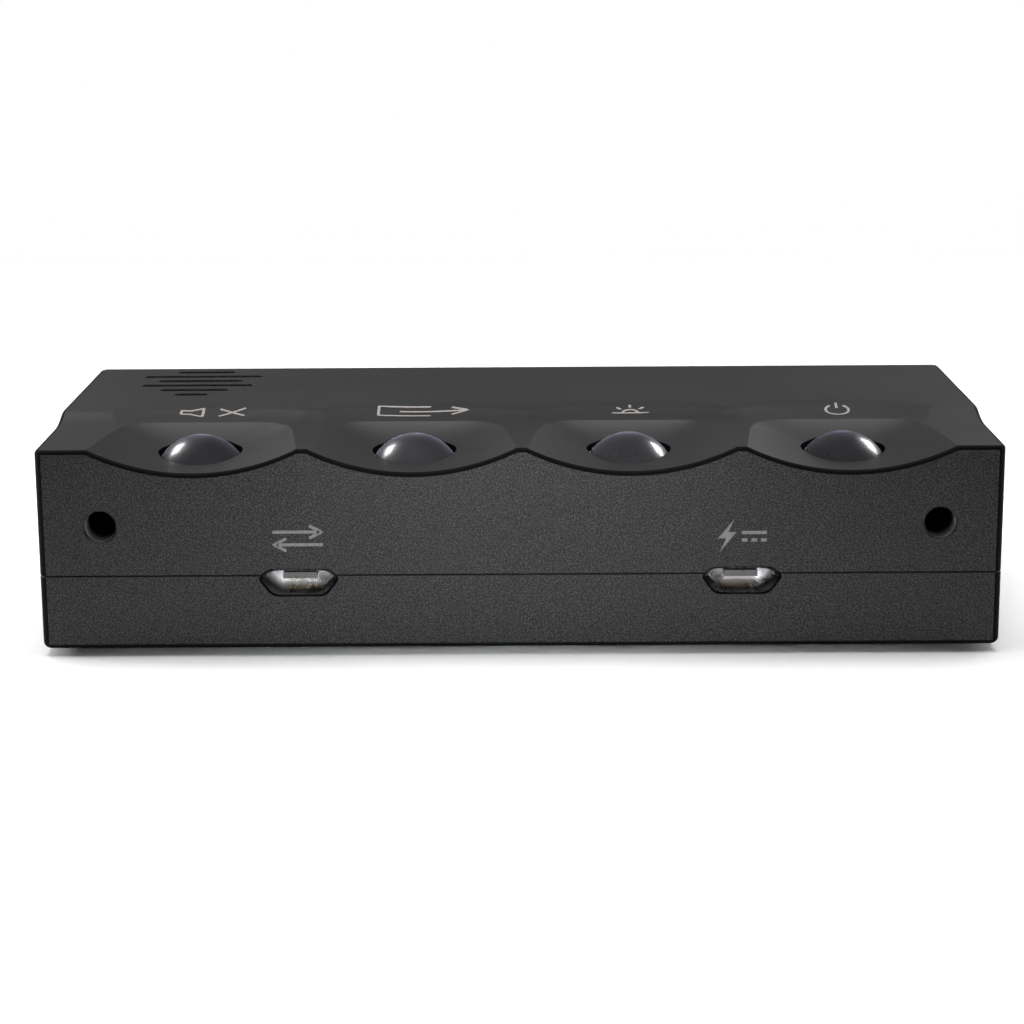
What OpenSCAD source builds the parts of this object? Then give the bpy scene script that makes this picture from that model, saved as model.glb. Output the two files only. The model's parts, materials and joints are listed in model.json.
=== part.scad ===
// Compact headphone amplifier: a two-part machined case with four ball buttons along its front
// edge, two micro-USB sockets in the joint line, and its output sockets in the rear wall.
// Millimetres, +Z up. The front faces -Y. The origin is the centre of the overall footprint,
// sockets included, on the plane that the feet rest on.

/* [Case] */
// Width of the case, side to side
case_w = 100; // [98:0.5:104]
// Depth of the case, front face to rear face
case_d = 44; // [44:0.5:48]
// Height of the case without its feet
case_h = 22.2; // [22:0.1:23]
// Height of the lower half, from its underside to the joint line
lower_h = 7.86; // [7.8:0.02:8.1]
// Thickness of the outer walls
wall = 2.2; // [2:0.1:2.4]
// Radius of the vertical outer edges
corner_r = 1.0; // [0.6:0.1:1.6]
// Radius of the long top and bottom edges
edge_r = 0.6; // [0.4:0.1:0.8]
// Drop from the top plane to the front ledge
step_drop = 1.0; // [0.6:0.1:1.2]
// Length of the S-shaped slope between the top plane and the ledge
step_run = 6; // [5:0.5:7]
// Distance from the front face to the foot of the slope
step_setback = 12; // [11:0.5:13]

/* [Ball buttons] */
// Diameter of each ball
ball_d = 10; // [9.9:0.05:10]
// Diameter of each ball's hole at its lower edge, which holds the ball in
ball_hole_d = 9.6; // [9.5:0.05:9.6]
// Diameter of each ball's hole at its mouth, where the ball shows
ball_mouth_d = 8.9; // [8.8:0.05:9.1]
// Distance between neighbouring balls
ball_pitch = 22.65; // [22.4:0.05:23]
// Distance of the row of balls from the middle of the case, to the right
ball_row_shift = 0.2; // [-0.5:0.1:0.5]
// Distance from the front face to the balls' centres
ball_setback = 8.1; // [7.8:0.1:8.4]
// How far a button travels when it is pressed
press_travel = 0.3; // [0.2:0.05:0.3]
// Radius of the scooped recess round each ball, seen from the front
scoop_r = 24.5; // [24:0.1:27]
// Radius of the scoop's rear end, seen from the side
scoop_end_r = 15.4; // [14:0.1:16]
// Depth of a scoop below the ledge, at the ball's centre
scoop_depth = 2.1; // [2:0.1:2.2]
// How steeply a scoop dips towards the front, in degrees
scoop_tilt = 3.2; // [0:0.1:3.5]

/* [Fixing holes] */
// Distance between the two fixing holes in the front face
fixing_span = 86.8; // [86:0.1:88]
// Diameter of the fixing holes
fixing_d = 3.2; // [3.1:0.1:3.3]
// Depth of the fixing holes
fixing_depth = 12; // [8:0.5:12]

/* [Sockets] */
// Distance of each micro-USB socket from the middle of the case
usb_offset = 23; // [22:0.1:24]
// Bore of the large headphone socket
large_bore_d = 6.4; // [6.36:0.01:6.45]
// Bore of the small headphone socket
small_bore_d = 3.6; // [3.52:0.01:3.65]
// Outside diameter of the line output sleeves
line_sleeve_d = 8.3; // [8.2:0.05:8.4]
// Length of the line output sleeves behind the rear face
line_sleeve_l = 8; // [7.5:0.5:9]

/* [Feet] */
// Diameter of a foot
foot_d = 9; // [7:0.5:10]
// How far a foot stands below the case
foot_proud = 0.8; // [0.8:0.1:1.2]

/* [Hidden] */
$fn = 64;
eps = 0.01;

BUTTONS = ["mute", "output", "dim", "power"];

// Case levels and faces
case_z = foot_proud;
joint_z = case_z + lower_h;
top_z = case_z + case_h;
ledge_z = top_z - step_drop;
front_y = -(case_d + line_sleeve_l) / 2;
rear_y = front_y + case_d;
inner_w = case_w - 2 * wall;
floor_t = 2;
floor_z = case_z + floor_t;
ceiling_t = 2.2;
ceiling_z = top_z - ceiling_t;
brow_depth = 16.5;            // the front strip whose ceiling is lower, under the scoops
step_low_run = 0.75 * step_run;
step_bend = 2 * atan(step_drop / step_run);
step_low_r = step_low_run / sin(step_bend);
step_high_r = (step_run - step_low_run) / sin(step_bend);
step_meet = step_low_r * (1 - cos(step_bend));
round_step_r = 22.85;         // radius of the slope's upper edge round each button
round_step_back = -2.1;       // centre of that radius, against the front face

// Ball buttons
ball_y = front_y + ball_setback;
ball_r = ball_d / 2;
seat_z = ledge_z - scoop_depth;
ball_z = seat_z - 2.9;
lip_z = ball_z + 1.5;         // underside of the lip that holds the ball in
mouth_z = lip_z + 1;          // where the hole has narrowed to its mouth
guide_r = 5.15;
guide_wall = 1.1;
guide_end_z = 10.6;
cradle_z = 10.9;
cradle_top_z = 13.8;
cradle_flange_r = 4.95;
cradle_flange_t = 0.8;
cradle_r = 3.9;
cup_r = ball_r + 0.02;

// Main board
board_t = 1.6;
board_z = 4.95;
board_top_z = board_z + board_t;
board_w = 92.6;
board_front = 3.4;
board_back = 40.8;
post_r = 2.4;
m2_r = 1.0;
board_holes = [[-42.4, 8], [42.4, 8], [-38, 33], [12.15, 33]];

// Tactile switches
switch_w = 6.2;
switch_h = 3.05;
stem_r = 1.5;
stem_foot_r = 2.0;
stem_foot_t = 0.4;
stem_foot_z = 8.3;
dome_r = 2.2;
dome_t = 0.12;
dome_h = 0.6;
dome_gap = 0.02;
dome_z = stem_foot_z - dome_gap - dome_h;

// Case screws, M2.5
screw_x = 44;
screw_backs = [17.8, 38.5];
screw_r = 1.25;
screw_head_r = 2.25;
screw_head_t = 1.6;
screw_recess_t = 2.6;
screw_boss_r = 3.2;
screw_tip_z = 15;

// Feet
foot_recess = 0.4;
foot_at = [[-38, 8], [38, 8], [-35, 36], [35, 36]];

// Fixing holes
fixing_z = case_z + 13.15;
fixing_mouth_d = 3.5;
fixing_block = [8.2, 14, 7];

// Micro-USB sockets
usb_z = case_z + 7.08;
usb_cut_h = 2.96;
usb_cut_w = 8.2;
usb_low_chamfer = 1.35;
usb_high_chamfer = 0.85;
usb_len = 5.6;
usb_set_in = 0.35;
usb_skin = 0.25;

// Rear sockets
socket_z = 13.4;
large_x = -24;
small_x = -7.5;
optical_x = 5;
line_x = [34.5, 20];
large_depth = 30.5;
small_depth = 15;
large_thread_r = 4.4;
small_thread_r = 3;
hole_play = 0.1;
line_hole_r = 4.6;
optical_cut = 7.6;

function at_y(depth) = front_y + depth;
function ball_x(i) = ball_row_shift + (i - 1.5) * ball_pitch;

// ---------- outlines and small shapes ----------

module rounded_rect(w, d, r) {
    square([w, d - 2 * r], center = true);
    square([w - 2 * r, d], center = true);
    for (sx = [-1, 1], sy = [-1, 1])
        translate([sx * (w / 2 - r), sy * (d / 2 - r)]) circle(r);
}

module block_at(x, depth, z, size) {
    translate([x - size[0] / 2, at_y(depth), z]) cube(size);
}

// A cylinder along +Y that starts at the given depth
module rod_y(x, depth, z, r, l) {
    translate([x, at_y(depth), z]) rotate([-90, 0, 0]) cylinder(r = r, h = l);
}

module ring_y(x, depth, z, r_out, r_in, l) {
    difference() {
        rod_y(x, depth, z, r_out, l);
        rod_y(x, depth - 1, z, r_in, l + 2);
    }
}

// Side profile of the case between two levels, with rounded long edges, drawn as [y, z]
module side_profile(z0, z1, round_bottom, round_top) {
    r = edge_r;
    y0 = front_y;
    y1 = rear_y;
    translate([y0, z0 + (round_bottom ? r : 0)])
        square([y1 - y0, z1 - z0 - (round_bottom ? r : 0) - (round_top ? r : 0)]);
    if (round_bottom) {
        translate([y0 + r, z0]) square([y1 - y0 - 2 * r, r]);
        for (y = [y0 + r, y1 - r]) translate([y, z0 + r]) circle(r);
    }
    if (round_top) {
        translate([y0 + r, z1 - r]) square([y1 - y0 - 2 * r, r]);
        for (y = [y0 + r, y1 - r]) translate([y, z1 - r]) circle(r);
    }
}

module along_x(l) {
    translate([-l / 2, 0, 0]) rotate([90, 0, 90]) linear_extrude(l) children();
}

module case_block(z0, z1, round_bottom, round_top) {
    intersection() {
        translate([0, (front_y + rear_y) / 2, z0])
            linear_extrude(z1 - z0) rounded_rect(case_w, case_d, corner_r);
        along_x(case_w + 2) side_profile(z0, z1, round_bottom, round_top);
    }
}

// ---------- upper case ----------

// Outline of what lies above the ledge and the S-shaped slope: the slope starts at `foot`, and
// its long lower arc and short upper arc meet the ledge, each other and the top plane smoothly
module above_step(from, foot) {
    translate([from, ledge_z]) square([foot - from, step_drop + 1]);
    intersection() {
        translate([foot, ledge_z + step_low_r]) circle(step_low_r);
        translate([foot - 1, ledge_z]) square([step_low_run + 1, step_drop + 1]);
    }
    difference() {
        translate([foot + step_low_run - eps, ledge_z + step_meet])
            square([step_run - step_low_run + eps, step_drop - step_meet + 1]);
        translate([foot + step_run, top_z - step_high_r]) circle(step_high_r);
    }
}

module straight_step() {
    along_x(case_w + 2) above_step(at_y(-1), at_y(step_setback));
}

module round_step(i) {
    translate([ball_x(i), at_y(round_step_back), 0])
        rotate_extrude() above_step(0, round_step_r - step_run);
}

// A round-bottomed channel from the front face to the ball, closed behind it by half a barrel
module scoop(i) {
    translate([ball_x(i), ball_y, seat_z]) rotate([scoop_tilt, 0, 0]) {
        translate([0, 0, scoop_r]) rotate([90, 0, 0]) cylinder(r = scoop_r, h = ball_setback + 3);
        intersection() {
            translate([0, 0, scoop_end_r]) rotate([0, 90, 0]) rotate_extrude()
                intersection() {
                    translate([scoop_end_r - scoop_r, 0]) circle(scoop_r);
                    translate([0, -scoop_r]) square([scoop_end_r + 1, 2 * scoop_r]);
                }
            translate([-scoop_r, 0, -1]) cube([2 * scoop_r, scoop_end_r + 1, 2 * scoop_end_r + 2]);
        }
    }
}

module ball_hole(i) {
    translate([ball_x(i), ball_y, 0]) {
        translate([0, 0, mouth_z]) cylinder(d = ball_mouth_d, h = top_z - mouth_z);
        translate([0, 0, lip_z]) cylinder(d1 = ball_hole_d, d2 = ball_mouth_d, h = mouth_z - lip_z);
        translate([0, 0, joint_z]) cylinder(r = guide_r, h = lip_z - joint_z);
    }
}

// A level-meter pattern of rounded bars, sunk into the rear left of the top plane
module engraving() {
    bar_w = 1.3;
    bar_step = 2.9;
    bar_at = [-37, 26.5];
    bar_lengths = [4, 8, 13, 10, 14, 7];
    for (i = [0:5])
        translate([bar_at[0], at_y(bar_at[1] + i * bar_step), top_z - 0.35])
            linear_extrude(1) {
                square([bar_lengths[i] - bar_w, bar_w], center = true);
                for (s = [-1, 1]) translate([s * (bar_lengths[i] - bar_w) / 2, 0]) circle(bar_w / 2);
            }
}

module usb_cut(x) {
    half = usb_cut_w / 2;
    low = usb_z - usb_cut_h / 2;
    high = usb_z + usb_cut_h / 2;
    low_half = half - usb_low_chamfer;
    high_half = half - usb_high_chamfer;
    side_low = low + usb_low_chamfer;
    side_high = high - usb_high_chamfer;
    points = [[-low_half, low], [low_half, low], [half, side_low], [half, side_high],
              [high_half, high], [-high_half, high], [-half, side_high], [-half, side_low]];
    translate([x, at_y(wall + 1), 0]) rotate([90, 0, 0]) linear_extrude(wall + 2) polygon(points);
}

module usb_cuts() {
    for (s = [-1, 1]) usb_cut(s * usb_offset);
}

module upper_case_cavity() {
    block_at(0, wall, joint_z - 1, [inner_w, brow_depth - wall + eps, lip_z - joint_z + 1]);
    block_at(0, brow_depth, joint_z - 1,
             [inner_w, case_d - wall - brow_depth, ceiling_z - joint_z + 1]);
}

module upper_case_bosses() {
    // guide tubes that hold the balls and their cradles in line
    for (i = [0:3])
        translate([ball_x(i), ball_y, guide_end_z])
            cylinder(r = guide_r + guide_wall, h = lip_z - guide_end_z + eps);
    // blocks behind the fixing holes
    for (s = [-1, 1])
        block_at(s * (case_w / 2 - wall / 2 - fixing_block[0] / 2), wall / 2,
                 fixing_z - fixing_block[2] / 2,
                 [fixing_block[0], fixing_block[1], fixing_block[2]]);
    // posts that take the case screws
    for (s = [-1, 1], d = screw_backs)
        translate([s * screw_x, at_y(d), joint_z])
            cylinder(r = screw_boss_r, h = ceiling_z - joint_z + eps);
}

module upper_case() {
    color([0.09, 0.09, 0.1])
    difference() {
        union() {
            difference() {
                case_block(joint_z, top_z, false, true);
                straight_step();
                for (i = [0:3]) round_step(i);
                for (i = [0:3]) scoop(i);
                upper_case_cavity();
            }
            upper_case_bosses();
        }
        for (i = [0:3]) ball_hole(i);
        for (s = [-1, 1]) {
            rod_y(s * fixing_span / 2, -1, fixing_z, fixing_d / 2, fixing_depth + 1);
            translate([s * fixing_span / 2, at_y(-eps), fixing_z])
                rotate([-90, 0, 0]) cylinder(d1 = fixing_mouth_d, d2 = fixing_d,
                                             h = (fixing_mouth_d - fixing_d) / 2);
            for (d = screw_backs)
                translate([s * screw_x, at_y(d), joint_z - 1])
                    cylinder(r = screw_r + 0.02, h = screw_tip_z + 0.6 - joint_z + 1);
        }
        usb_cuts();
        rod_y(large_x, case_d - wall - 1, socket_z, large_thread_r + hole_play, wall + 2);
        rod_y(small_x, case_d - wall - 1, socket_z, small_thread_r + hole_play, wall + 2);
        for (x = line_x) rod_y(x, case_d - wall - 1, socket_z, line_hole_r, wall + 2);
        block_at(optical_x, case_d - wall - 1, socket_z - optical_cut / 2,
                 [optical_cut, wall + 2, optical_cut]);
        engraving();
    }
}

// ---------- lower case, feet and screws ----------

module lower_case() {
    lip_in = wall + 0.1;
    lip_t = 0.8;
    rear_gap = [large_x - 8, line_x[0] + 6];
    color([0.09, 0.09, 0.1])
    difference() {
        union() {
            difference() {
                case_block(case_z, joint_z, true, false);
                block_at(0, wall, floor_z, [inner_w, case_d - 2 * wall, lower_h]);
            }
            // locating lip inside the upper case
            difference() {
                block_at(0, lip_in, floor_z - 1,
                         [case_w - 2 * lip_in, case_d - 2 * lip_in, joint_z - floor_z + 1.9]);
                block_at(0, lip_in + lip_t, floor_z - 2,
                         [case_w - 2 * (lip_in + lip_t), case_d - 2 * (lip_in + lip_t), lower_h + 2]);
                block_at((rear_gap[0] + rear_gap[1]) / 2, case_d - 6, floor_z,
                         [rear_gap[1] - rear_gap[0], 6, lower_h + 2]);
                for (s = [-1, 1]) {
                    block_at(s * usb_offset, 0, floor_z, [9.2, 6, lower_h + 2]);
                    for (d = screw_backs)
                        translate([s * screw_x, at_y(d), joint_z])
                            cylinder(r = screw_boss_r + 0.15, h = 3);
                }
            }
            for (p = board_holes)
                translate([p[0], at_y(p[1]), floor_z - eps])
                    cylinder(r = post_r, h = board_z - floor_z + eps);
            for (s = [-1, 1], d = screw_backs)
                translate([s * screw_x, at_y(d), floor_z - eps])
                    cylinder(r = screw_boss_r, h = joint_z - floor_z + eps);
        }
        for (p = board_holes)
            translate([p[0], at_y(p[1]), floor_z - 0.6]) cylinder(r = m2_r, h = 4);
        for (s = [-1, 1], d = screw_backs)
            translate([s * screw_x, at_y(d), 0]) {
                cylinder(r = screw_r + 0.1, h = joint_z + 1);
                cylinder(r = screw_head_r + 0.15, h = case_z + screw_recess_t);
            }
        for (p = foot_at)
            translate([p[0], at_y(p[1]), 0]) cylinder(d = foot_d + 0.1, h = case_z + foot_recess);
        usb_cuts();
    }
}

module rubber_feet() {
    color([0.05, 0.05, 0.05])
    for (p = foot_at)
        translate([p[0], at_y(p[1]), 0]) cylinder(d = foot_d, h = foot_proud + foot_recess);
}

// Socket head with a hexagon recess, pointing down; the shank runs up
module case_screw() {
    head_z = case_z + screw_recess_t - screw_head_t;
    difference() {
        union() {
            translate([0, 0, head_z]) cylinder(r = screw_head_r, h = screw_head_t);
            translate([0, 0, head_z + screw_head_t - eps])
                cylinder(r = screw_r, h = screw_tip_z - head_z - screw_head_t + eps);
        }
        translate([0, 0, head_z - 1]) cylinder(r = 1.15, h = 2.1, $fn = 6);
    }
}

module case_screws() {
    color([0.2, 0.2, 0.22])
    for (s = [-1, 1], d = screw_backs) translate([s * screw_x, at_y(d), 0]) case_screw();
}

// ---------- main board ----------

module main_board() {
    color([0.04, 0.16, 0.09])
    difference() {
        block_at(0, board_front, board_z, [board_w, board_back - board_front, board_t]);
        for (p = board_holes)
            translate([p[0], at_y(p[1]), board_z - 1]) cylinder(r = m2_r + 0.1, h = 4);
        for (s = [-1, 1], d = screw_backs)
            translate([s * screw_x, at_y(d), board_z - 1])
                cylinder(r = screw_boss_r + 0.4, h = 4);
        for (s = [-1, 1], d = screw_backs)
            block_at(s * (screw_x + 4), d - screw_boss_r - 0.4, board_z - 1,
                     [8, 2 * screw_boss_r + 0.8, 4]);
    }
}

module board_screws() {
    color("silver")
    for (p = board_holes)
        translate([p[0], at_y(p[1]), 0]) difference() {
            union() {
                translate([0, 0, board_top_z]) cylinder(r = 1.9, h = 1.3);
                translate([0, 0, floor_z - 0.3])
                    cylinder(r = m2_r - 0.03, h = board_top_z - floor_z + 0.3 + eps);
            }
            for (a = [0, 90])
                rotate(a) translate([-1.1, -0.25, board_top_z + 0.6]) cube([2.2, 0.5, 2]);
        }
}

// ---------- ball buttons ----------

module ball(i) {
    color([0.32, 0.33, 0.37]) translate([ball_x(i), ball_y, ball_z]) sphere(ball_r);
}

// Clear cup that carries the ball on the switch and lights it from below
module cradle(i) {
    color([0.85, 0.87, 0.9])
    translate([ball_x(i), ball_y, 0]) difference() {
        union() {
            translate([0, 0, cradle_z]) cylinder(r = cradle_flange_r, h = cradle_flange_t);
            translate([0, 0, cradle_z]) cylinder(r = cradle_r, h = cradle_top_z - cradle_z);
        }
        translate([0, 0, ball_z]) sphere(cup_r);
    }
}

module stem(i) {
    color([0.12, 0.12, 0.12])
    translate([ball_x(i), ball_y, 0]) {
        translate([0, 0, stem_foot_z]) cylinder(r = stem_r, h = cradle_z - stem_foot_z);
        translate([0, 0, stem_foot_z]) cylinder(r = stem_foot_r, h = stem_foot_t);
    }
}

// Snap dome under the stem, a thin spherical cap that stands on its rim
module dome(i) {
    sphere_r = (dome_r * dome_r + dome_h * dome_h) / (2 * dome_h);
    color([0.75, 0.72, 0.66])
    translate([ball_x(i), ball_y, dome_z]) intersection() {
        difference() {
            translate([0, 0, dome_h - sphere_r]) sphere(sphere_r);
            translate([0, 0, dome_h - sphere_r]) sphere(sphere_r - dome_t);
        }
        cylinder(r = dome_r, h = dome_h + 1);
    }
}

module switch_housings() {
    cap_t = 0.5;
    base_t = dome_z - board_top_z;
    color([0.1, 0.1, 0.1])
    for (i = [0:3])
        translate([ball_x(i), ball_y, board_top_z]) difference() {
            translate([-switch_w / 2, -switch_w / 2, 0]) cube([switch_w, switch_w, switch_h]);
            translate([0, 0, base_t]) cylinder(r = 2.4, h = switch_h - base_t - cap_t);
            translate([0, 0, base_t]) cylinder(r = stem_r + 0.1, h = switch_h);
        }
}

module button_leds() {
    color([0.95, 0.95, 0.9])
    for (i = [0:3], s = [-1, 1])
        block_at(ball_x(i) + s * 4.3, ball_setback - 0.8, board_top_z, [1.6, 1.6, 0.8]);
}

// ---------- micro-USB sockets ----------

// Outline of the socket's shell, wide side up, grown by g on every side
function usb_outline(g) = [
    [-2.35 - g * 0.7, -1.05 - g], [2.35 + g * 0.7, -1.05 - g],
    [3.5 + g, -0.05 - g * 0.3], [3.5 + g, 0.45 + g * 0.3],
    [3.0 + g * 0.5, 1.05 + g], [-3.0 - g * 0.5, 1.05 + g],
    [-3.5 - g, 0.45 + g * 0.3], [-3.5 - g, -0.05 - g * 0.3]];

module usb_prism(x, depth, l, g) {
    translate([x, at_y(depth + l), usb_z]) rotate([90, 0, 0]) linear_extrude(l)
        polygon(usb_outline(g));
}

module usb_shell(x) {
    color("silver")
    difference() {
        usb_prism(x, usb_set_in, usb_len, usb_skin);
        usb_prism(x, usb_set_in - 1, usb_len + 1 - 0.4, 0);
    }
}

module usb_tongue(x) {
    color([0.15, 0.15, 0.16]) {
        block_at(x, usb_set_in + 1.1, usb_z + 0.1, [3.5, usb_len - 1.5, 0.65]);
        difference() {
            usb_prism(x, usb_set_in + usb_len - 1.3, 0.9 - eps, -0.02);
            block_at(x, usb_set_in + 1.1, usb_z + 0.1 + eps, [3.5 - 2 * eps, usb_len, 0.63]);
        }
    }
}

module usb_contacts() {
    color([0.85, 0.68, 0.3])
    for (s = [-1, 1], k = [-2:2])
        block_at(s * usb_offset + k * 0.65, usb_set_in + 1.4, usb_z + 0.1 - 0.09,
                 [0.3, usb_len - 3, 0.09]);
}

// ---------- headphone sockets ----------

module leaf_contacts(x, r, depths, w, t) {
    for (k = [0:len(depths) - 1])
        block_at(x + (k % 2 == 0 ? 1 : -1) * (r + 0.35 + t / 2), depths[k], socket_z - w / 2,
                 [t, 4, w]);
}

module headphone_large_housing() {
    start = case_d - wall - 0.1;
    color([0.08, 0.08, 0.08])
    difference() {
        union() {
            block_at(large_x, 17, board_top_z, [15, start - 17, 13.6]);
            block_at(large_x, 13.2, socket_z - 4.5, [10, 4, 9]);
        }
        rod_y(large_x, case_d - large_depth, socket_z, large_bore_d / 2, case_d);
        rod_y(large_x, 36, socket_z, large_thread_r + 0.02, case_d);
        for (s = [-1, 1])
            block_at(large_x + s * 3.9, 18, socket_z - 1.6, [1.8, 17, 3.2]);
    }
}

module headphone_large_bush() {
    color("silver") ring_y(large_x, 36.1, socket_z, large_thread_r, large_bore_d / 2, 7.9 + 1.2);
}

module headphone_large_nut() {
    color([0.12, 0.12, 0.13])
    difference() {
        rod_y(large_x, case_d, socket_z, 6.4, 1.6);
        rod_y(large_x, case_d - 1, socket_z, large_thread_r + 0.02, 4);
    }
}

module headphone_large_contacts() {
    color([0.8, 0.78, 0.7]) leaf_contacts(large_x, large_bore_d / 2, [19, 23, 29], 2.4, 0.3);
}

module headphone_small_housing() {
    start = case_d - wall - 0.1;
    color([0.08, 0.08, 0.08])
    difference() {
        block_at(small_x, case_d - small_depth - 1.5, board_top_z,
                 [8.6, start - case_d + small_depth + 1.5, 10.6]);
        rod_y(small_x, case_d - small_depth, socket_z, small_bore_d / 2, case_d);
        rod_y(small_x, 38, socket_z, small_thread_r + 0.02, case_d);
        for (s = [-1, 1])
            block_at(small_x + s * 2.65, 30, socket_z - 1, [1.3, 7, 2]);
    }
}

module headphone_small_bush() {
    color("silver") ring_y(small_x, 38.1, socket_z, small_thread_r, small_bore_d / 2, 5.9 + 1);
}

module headphone_small_nut() {
    color([0.12, 0.12, 0.13])
    difference() {
        rod_y(small_x, case_d, socket_z, 4.4, 1.3);
        rod_y(small_x, case_d - 1, socket_z, small_thread_r + 0.02, 4);
    }
}

module headphone_small_contacts() {
    color([0.8, 0.78, 0.7]) leaf_contacts(small_x, small_bore_d / 2, [30.5, 32], 1.6, 0.25);
}

// ---------- line outputs ----------

module line_sleeve(i) {
    x = line_x[i];
    color([0.83, 0.66, 0.3])
    difference() {
        union() {
            rod_y(x, case_d - wall - 2, socket_z, line_sleeve_d / 2, line_sleeve_l + wall + 2);
            rod_y(x, case_d, socket_z, 5.5, 0.8);
        }
        rod_y(x, case_d - wall - 3, socket_z, line_sleeve_d / 2 - 0.45, line_sleeve_l + 20);
    }
}

module line_insulator(i) {
    x = line_x[i];
    color(i == 0 ? "white" : "firebrick")
        ring_y(x, case_d - wall - 2, socket_z, line_sleeve_d / 2 - 0.47, 1.9, wall + 2 + 7);
}

module line_contact(i) {
    x = line_x[i];
    color([0.83, 0.66, 0.3])
        ring_y(x, case_d - wall - 2, socket_z, 1.88, 1.65, wall + 2 + 6.2);
}

module line_housings() {
    color([0.08, 0.08, 0.08])
    for (x = line_x)
        difference() {
            block_at(x, 31.5, board_top_z, [11, case_d - wall - 0.1 - 31.5, 13]);
            rod_y(x, case_d - wall - 2.02, socket_z, line_sleeve_d / 2 + 0.02, 10);
        }
}

// ---------- optical socket ----------

shutter_w = 6.4;
shutter_t = 0.7;
shutter_h = 6.6;
shutter_hinge_z = socket_z + 3.4;
shutter_depth = case_d - wall - 0.9;   // depth of the hinge axis
hinge_pin_r = 0.35;

module optical_housing() {
    front = 28.5;
    color([0.07, 0.07, 0.07])
    difference() {
        block_at(optical_x, front, board_top_z, [9.6, case_d - wall - 0.1 - front, 12.4]);
        // the plug's cavity, with room above it for the open shutter
        block_at(optical_x, front + 5, socket_z - 3.3, [6.8, 20, 6.6]);
        block_at(optical_x, front + 5.6, socket_z + 2.4, [6.8, 20, 1.9]);
        translate([optical_x - 4.2, at_y(shutter_depth), shutter_hinge_z])
            rotate([0, 90, 0]) cylinder(r = hinge_pin_r + 0.02, h = 8.4);
        rod_y(optical_x, front + 1, socket_z, 2.6, 10);
    }
}

module optical_shutter() {
    color([0.16, 0.16, 0.17])
    difference() {
        union() {
            block_at(optical_x, shutter_depth - shutter_t / 2, shutter_hinge_z - shutter_h,
                     [shutter_w, shutter_t, shutter_h]);
            translate([optical_x - shutter_w / 2, at_y(shutter_depth), shutter_hinge_z])
                rotate([0, 90, 0]) cylinder(r = 0.65, h = shutter_w);
        }
        translate([optical_x - 5, at_y(shutter_depth), shutter_hinge_z])
            rotate([0, 90, 0]) cylinder(r = hinge_pin_r + 0.05, h = 10);
        // slot that clears the spring
        block_at(optical_x, shutter_depth - 2, shutter_hinge_z - 0.9, [2.2, 4, 2]);
    }
}

module optical_hinge_pin() {
    color("silver")
    translate([optical_x - 4.15, at_y(shutter_depth), shutter_hinge_z])
        rotate([0, 90, 0]) cylinder(r = hinge_pin_r, h = 8.3);
}

// Torsion spring round the hinge pin, drawn as its coil
module optical_spring() {
    color([0.7, 0.7, 0.72])
    translate([optical_x - 0.9, at_y(shutter_depth), shutter_hinge_z])
        rotate([0, 90, 0]) difference() {
            cylinder(r = 0.62, h = 1.8);
            translate([0, 0, -1]) cylinder(r = hinge_pin_r + 0.05, h = 4);
        }
}

module optical_emitter() {
    color([0.5, 0.08, 0.08]) {
        rod_y(optical_x, 29.6, socket_z, 2.5, 3.2);
        translate([optical_x, at_y(32.8), socket_z]) sphere(1.1);
    }
}

// ---------- parts on the board ----------

module chip(x, depth, w, d, h) {
    block_at(x, depth, board_top_z, [w, d, h]);
    pins = floor(w / 1.1);
    for (k = [0:pins - 1], s = [0, 1])
        block_at(x - (pins - 1) * 0.5 + k, depth + (s == 0 ? -0.7 : d - 0.2), board_top_z,
                 [0.45, 0.9, 0.35]);
}

module processor_chip() {
    color([0.07, 0.07, 0.07]) chip(12, 16, 14, 10, 1.4);
}

module usb_interface_chip() {
    color([0.07, 0.07, 0.07]) chip(-23, 8.6, 6, 3.4, 0.9);
}

module converter_chip() {
    color([0.07, 0.07, 0.07]) chip(-6, 18, 8, 6, 1.1);
}

module amplifier_chips() {
    color([0.07, 0.07, 0.07])
    for (x = [27, 36.5]) chip(x, 17.5, 6, 5, 1.7);
}

module output_relays() {
    color([0.9, 0.9, 0.86])
    for (x = [24.6, 35.4]) block_at(x, 25, board_top_z, [9.4, 5.5, 5.2]);
}

module electrolytic_capacitors() {
    color([0.16, 0.2, 0.35])
    for (p = [[-41.5, 24.2], [-34.8, 24.2], [-34.8, 18.5], [43.2, 27]])
        translate([p[0], at_y(p[1]), board_top_z]) {
            cylinder(r = 2.5, h = 7);
            translate([-2.6, -2.6, 0]) cube([5.2, 5.2, 0.6]);
        }
}

module film_capacitors() {
    color([0.62, 0.12, 0.1])
    for (p = [[0, 11], [0, 14.2], [-12.2, 14.6], [-0.9, 24.8]])
        block_at(p[0], p[1], board_top_z, [7.2, 2.6, 6]);
}

module power_inductors() {
    color([0.3, 0.3, 0.31])
    for (x = [19.3, 26.6])
        translate([x, at_y(9), board_top_z]) linear_extrude(3) rounded_rect(4.6, 4.6, 1);
}

module clock_crystals() {
    color("silver")
    for (x = [1.5, 22]) block_at(x, 20, board_top_z, [2.5, 3.2, 0.9]);
}

module small_passives() {
    color([0.55, 0.45, 0.34])
    for (k = [0:13])
        block_at(6 + k * 1.6, 13, board_top_z, [0.8, 0.5, 0.4]);
}

// ---------- nodes ----------

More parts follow.
